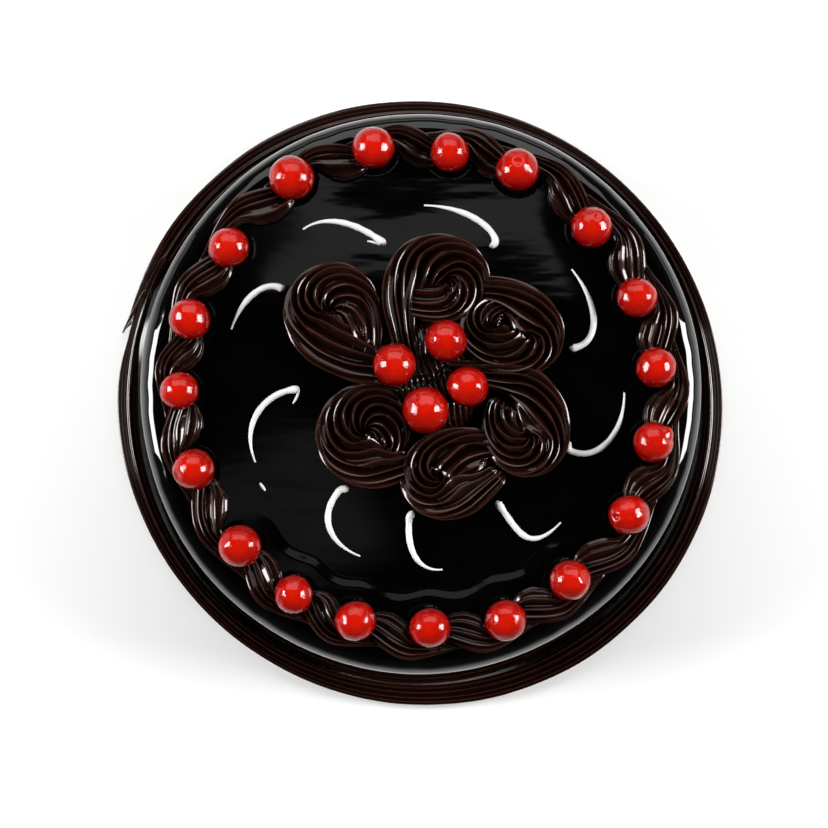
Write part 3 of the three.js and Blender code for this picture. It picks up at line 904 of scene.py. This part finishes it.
def shell_piping(index):
    """A shell starts thin outside one cherry, swells, and bends inwards to end under the next cherry."""
    begin = RIM_BEARINGS[index]
    end = RIM_BEARINGS[index + 1] if index + 1 < len(RIM_BEARINGS) else RIM_BEARINGS[0] - 360
    length = math.radians(begin - end) * RING_RADIUS - SHELL_CLEAR + SHELL_LEAD
    t = np.linspace(0.0, 1.0, SHELL_STEPS)
    bearing = begin + np.degrees((SHELL_LEAD - length * t) / RING_RADIUS)
    radius = mix(SHELL_START_RADIUS, SHELL_TAIL_RADIUS, smooth(t, *SHELL_OUTWARDS))
    radius = mix(radius, SHELL_HEAD_RADIUS, smooth(t, *SHELL_INWARDS))
    points = polar(radius + oval(RING_OVAL, RING_OVAL_BEARING, bearing), bearing) + RING_SHIFT
    uneven = 1.0 + SHELL_UNEVEN * wobble(t, SHELL_SWELL_SEED + index, SHELL_UNEVEN_CYCLES)
    swell = smooth(t, *SHELL_SWELLS) * uneven
    rounded = nose(length * t) * nose(length * (1.0 - t))
    widths = mix(SHELL_TAIL_WIDTH, SHELL_WIDTH, swell) * rounded
    wide = smooth(t, *SHELL_WIDENS) * (1.0 - smooth(t, *SHELL_NARROWS))
    inner = widths * mix(1.0, SHELL_INNER_REACH, wide)
    lower = mix(1.0, SHELL_LOW_SHARE, smooth(t, *SHELL_LOWERS))
    heights = mix(SHELL_TAIL_HEIGHT, SHELL_HEIGHT, swell) * lower * rounded
    rolls = np.radians(SHELL_ROLL) * wobble(t, SHELL_ROLL_SEED + index, SHELL_ROLL_CYCLES)
    rings = bead_rings(points, widths, inner, heights, HEIGHT + SHELL_AXIS_SHARE * heights, rolls,
                       shell_section(SHELL_STAR_SEED + index), SHELL_FLUTE * widths / SHELL_WIDTH)
    made = add_object(f"rim_shell_{index + 1:02d}_piping", *skinned(rings))
    centre, diameter = rim_cherry(index + 1)
    combine(made, [seat_cutter(), ball_cutter(centre, diameter - GAP)], "DIFFERENCE")
    return made


for number in range(len(RIM_BEARINGS)):
    finish_piece(shell_piping(number), GANACHE, [f"rim_shell_{number + 1:02d}"])


# The rosettes of the flower

def rosette_course(index):
    """Points, length and turning along the strand of a rosette, and the index of the point halfway round."""
    start, heading, *_, strokes = ROSETTES[index]
    lengths, turns = np.array(strokes, float).T
    ends = np.append(0.0, np.cumsum(lengths))
    along = np.arange(0.0, ends[-1], ROSETTE_STEP)
    blend = np.linspace(-TURN_BLEND, TURN_BLEND, TURN_SAMPLES)
    turned = np.interp(along[:, None] + blend[None, :], ends, np.append(0.0, np.cumsum(turns))).mean(axis=1)
    steps = polar(ROSETTE_STEP, heading - turned)
    course = np.array(start) + np.cumsum(steps, axis=0) - steps[0]
    turned = np.radians(turned - turned[0])
    return course, along, turned, int(np.searchsorted(turned, 0.5 * turned[-1]))


def rosette_rings(index):
    """Rings of the strand of a rosette, and the index of the ring halfway round."""
    points, along, turned, half = rosette_course(index)
    _, _, size, begin, finish, swelling, _ = ROSETTES[index]
    t = along / along[-1]
    done = turned / turned[-1]
    swell = mix(begin, 1.0, smooth(along, 0.0, swelling))
    thin = mix(1.0, finish, smooth(done, *ROSETTE_THINS))
    rounded = nose(along) * nose(along[-1] - along)
    uneven = 1.0 + ROSETTE_UNEVEN * wobble(t, ROSETTE_WIDTH_SEED + index, ROSETTE_UNEVEN_CYCLES)
    widths = ROSETTE_WIDTH * size * swell * thin * rounded * uneven
    lower = mix(1.0, ROSETTE_LOW_SHARE, smooth(done, *ROSETTE_LOWERS))
    heights = ROSETTE_HEIGHT * mix(1.0, swell, SWELL_IN_HEIGHT) * lower * rounded
    bend_radius = ROSETTE_STEP / np.maximum(np.gradient(turned), LEAST_TURN)
    reach = mix(1.0, EYE_REACH, smooth(along, EYE_GROWS[0] * swelling, EYE_GROWS[1] * swelling))
    inner = np.minimum(widths * reach, bend_radius - EYE_MARGIN)
    sway = np.radians(ROSETTE_ROLL) * wobble(t, ROSETTE_ROLL_SEED + index, ROSETTE_ROLL_CYCLES)
    rolls = -ROSETTE_TWIST * turned + sway
    flutes = ROSETTE_FLUTE * widths / (ROSETTE_WIDTH * size)
    rings = bead_rings(points, widths, inner, heights, HEIGHT + ROSETTE_AXIS_SHARE * heights, rolls,
                       star_section(ROSETTE_STAR_SEED + index), flutes)
    return rings, half


def eye_floor(index):
    """A low mound of ganache that closes the eye of a rosette."""
    reach, height = EYE_FLOOR
    ball = bmesh.new()
    bmesh.ops.create_icosphere(ball, subdivisions=BALL_FINENESS, radius=1.0)
    bmesh.ops.scale(ball, vec=(reach * MM, reach * MM, height * MM), verts=ball.verts)
    points, _, turned, _ = rosette_course(index)
    x, y = points[turned > EYE_FROM * turned[-1]].mean(axis=0)
    bmesh.ops.translate(ball, vec=(x * MM, y * MM, HEIGHT * MM), verts=ball.verts)
    return link_object("eye_floor", mesh_from(ball, "eye_floor"))


def rosette_piping(index):
    rings, half = rosette_rings(index)
    made = add_object(f"rosette_{index + 1}_piping", *skinned(rings[: half + 1]))
    combine(made, [add_object("half", *skinned(rings[half:])), eye_floor(index)], "UNION")
    seat_in_heart(made)
    return made


for number in range(len(ROSETTES)):
    finish_piece(rosette_piping(number), GANACHE, [f"rosette_{number + 1}"])


def heart_piping():
    """A low mound with fine ridges side by side, dented by the cherries that sit on it."""
    turn = np.arange(HEART_SIDES) / HEART_SIDES
    share = np.linspace(0.0, 1.0, HEART_RINGS + 1)[1:]
    uneven = 1.0 + HEART_UNEVEN * wobble(turn, HEART_EDGE_SEED, HEART_UNEVEN_CYCLES)
    radii = HEART_RADIUS * share[:, None] * uneven[None, :]
    spots = polar(radii, 360.0 * turn[None, :])
    x = spots[..., 0]
    y = spots[..., 1]
    across = x + HEART_LEAN * y + HEART_SWAY * np.sin(HEART_SWAY_RATE * y)
    ridge = np.abs(np.sin(np.pi * across / HEART_RIDGE)) ** HEART_RIDGE_POWER
    rise = HEART_HEIGHT * np.sqrt(1.0 - share**2)[:, None] - HEART_FLUTE * ridge
    rings = np.concatenate([np.array(HEART) + spots, (HEIGHT + rise)[..., None]], axis=-1)
    foot = rings[-1:].copy()
    foot[..., 2] = HEIGHT - HEART_DEPTH
    made = add_object("heart_piping", *skinned(np.concatenate([rings, foot])[::-1]))
    seat_in_heart(made)
    return made


finish_piece(heart_piping(), GANACHE, ["heart"])


# The cherries

def cherry_piece(name, centre, diameter, seed, mark=None):
    """A slightly lumpy, slightly long fruit, with the pit of its stem where a mark says, or anywhere."""
    rng = np.random.default_rng(seed)
    ball = bmesh.new()
    bmesh.ops.create_icosphere(ball, subdivisions=CHERRY_FINENESS, radius=1.0)
    mesh = mesh_from(ball, name)
    places = np.empty(len(mesh.vertices) * 3)
    mesh.vertices.foreach_get("co", places)
    unit = places.reshape(-1, 3)
    unit = unit / np.linalg.norm(unit, axis=1)[:, None]
    lumps = np.zeros(len(unit))
    for rate, share in CHERRY_LUMPS:
        lumps += share * np.sin(unit @ (rate * rng.normal(size=3)) + rng.uniform(*LUMP_PHASES))
    if mark is None:
        mark = (rng.uniform(*PIT_AZIMUTHS), rng.uniform(*PIT_ELEVATIONS), rng.uniform(*PIT_DEPTHS),
                PIT_SPREAD, PIT_STRETCH)
    azimuth, elevation, depth, spread, stretch = mark
    flat = polar(math.cos(math.radians(elevation)), azimuth)
    pole = np.array([flat[0], flat[1], math.sin(math.radians(elevation))])
    along = unit @ pole
    from_pole = np.arccos(np.clip(along, -1.0, 1.0)) / spread
    lip = LIP_SHARE * np.exp(-(((from_pole - LIP_AT) / LIP_WIDTH) ** 2))
    pit = depth * (np.exp(-(from_pole**2)) - lip)
    reach = 0.5 * diameter * (CHERRY_FILL + LUMP_HEIGHT * lumps - pit)
    grown = unit * reach[:, None] * CHERRY_SQUASH
    grown = grown + (stretch * reach * along)[:, None] * pole + np.array(centre)
    mesh.vertices.foreach_set("co", (grown * MM).ravel())
    mesh.update()
    return link_object(name, mesh)


for number in range(len(RIM_CHERRIES)):
    node = f"rim_cherry_{number + 1:02d}"
    spot, width = rim_cherry(number)
    cherry = cherry_piece(f"{node}_fruit", spot, width, RIM_CHERRY_SEED + number, RIM_MARKS.get(number))
    finish_piece(cherry, CHERRY, [node])
for number in range(len(HEART_CHERRIES)):
    node = f"heart_cherry_{number + 1}"
    spot, width = heart_cherry(number)
    cherry = cherry_piece(f"{node}_fruit", spot, width, HEART_CHERRY_SEED + number, HEART_MARKS.get(number))
    finish_piece(cherry, CHERRY, [node])


# Floor, light and camera

floor_corners = [(x, y, FLOOR_LEVEL) for x, y in FLOOR_REACH * np.array([(-1, -1), (1, -1), (1, 1), (-1, 1)])]
floor = add_object("floor", floor_corners, [(0, 1, 2, 3)])
floor.data.materials.append(floor_material())


def area_light(name, width, height, radiance):
    light = bpy.data.lights.new(name, "AREA")
    light.shape = "RECTANGLE"
    light.size = width
    light.size_y = height
    light.energy = radiance * math.pi * width * height
    return link_object(name, light)


def softbox(name, azimuth, elevation, distance, width, height, radiance):
    """A light that faces the cake. Azimuth is a bearing seen from above."""
    made = area_light(name, width, height, radiance)
    x, y = polar(distance * math.cos(math.radians(elevation)), azimuth)
    made.location = (x, y, distance * math.sin(math.radians(elevation)))
    made.rotation_euler = (math.radians(90.0 - elevation), 0.0, math.radians(azimuth + 90.0))


for softbox_name, setting in SOFTBOXES.items():
    softbox(softbox_name, *setting)

overhead = area_light("overhead_panel", *OVERHEAD_SIZE, OVERHEAD_RADIANCE)
overhead.location = OVERHEAD_PLACE


def studio_world():
    """A dark room with pale walls: dim all round, a little brighter low down, with a haze on the ceiling."""
    world = bpy.data.worlds.new("studio")
    world.use_nodes = True
    nodes = world.node_tree.nodes
    links = world.node_tree.links
    background = nodes["Background"]
    place = nodes.new("ShaderNodeTexCoord")
    split = nodes.new("ShaderNodeSeparateXYZ")
    links.new(place.outputs["Generated"], split.inputs["Vector"])
    stops = [(0.0, (0.08, 0.08, 0.08)), (0.35, (0.05, 0.05, 0.052)), (0.8, (0.012, 0.012, 0.012)),
             (1.0, (0.006, 0.006, 0.006))]
    colour = ramp(nodes, links, split.outputs["Z"], stops)
    apart = nodes.new("ShaderNodeVectorMath")
    apart.operation = "DISTANCE"
    links.new(place.outputs["Generated"], apart.inputs[0])
    apart.inputs[1].default_value = HAZE_TOWARD
    haze = nodes.new("ShaderNodeMapRange")
    haze.interpolation_type = "SMOOTHSTEP"
    haze.inputs["From Max"].default_value = HAZE_REACH
    haze.inputs["To Min"].default_value = HAZE_BRIGHT
    haze.inputs["To Max"].default_value = 0.0
    links.new(apart.outputs["Value"], haze.inputs["Value"])
    both = nodes.new("ShaderNodeVectorMath")
    links.new(colour, both.inputs[0])
    links.new(haze.outputs["Result"], both.inputs[1])
    links.new(both.outputs["Vector"], background.inputs["Color"])
    background.inputs["Strength"].default_value = 1.0
    bpy.context.scene.world = world


studio_world()

lens = bpy.data.cameras.new("camera")
lens.sensor_fit = "HORIZONTAL"
lens.angle = 2.0 * math.atan(0.5 * FRAME_WIDTH / CAMERA_DISTANCE)
camera = link_object("camera", lens)
tilt = math.radians(CAMERA_TILT)
camera.location = (AIM[0], AIM[1] - CAMERA_DISTANCE * math.sin(tilt), CAMERA_DISTANCE * math.cos(tilt))
camera.rotation_euler = (tilt, 0.0, 0.0)
bpy.context.scene.camera = camera
bpy.context.scene.view_settings.view_transform = "Standard"
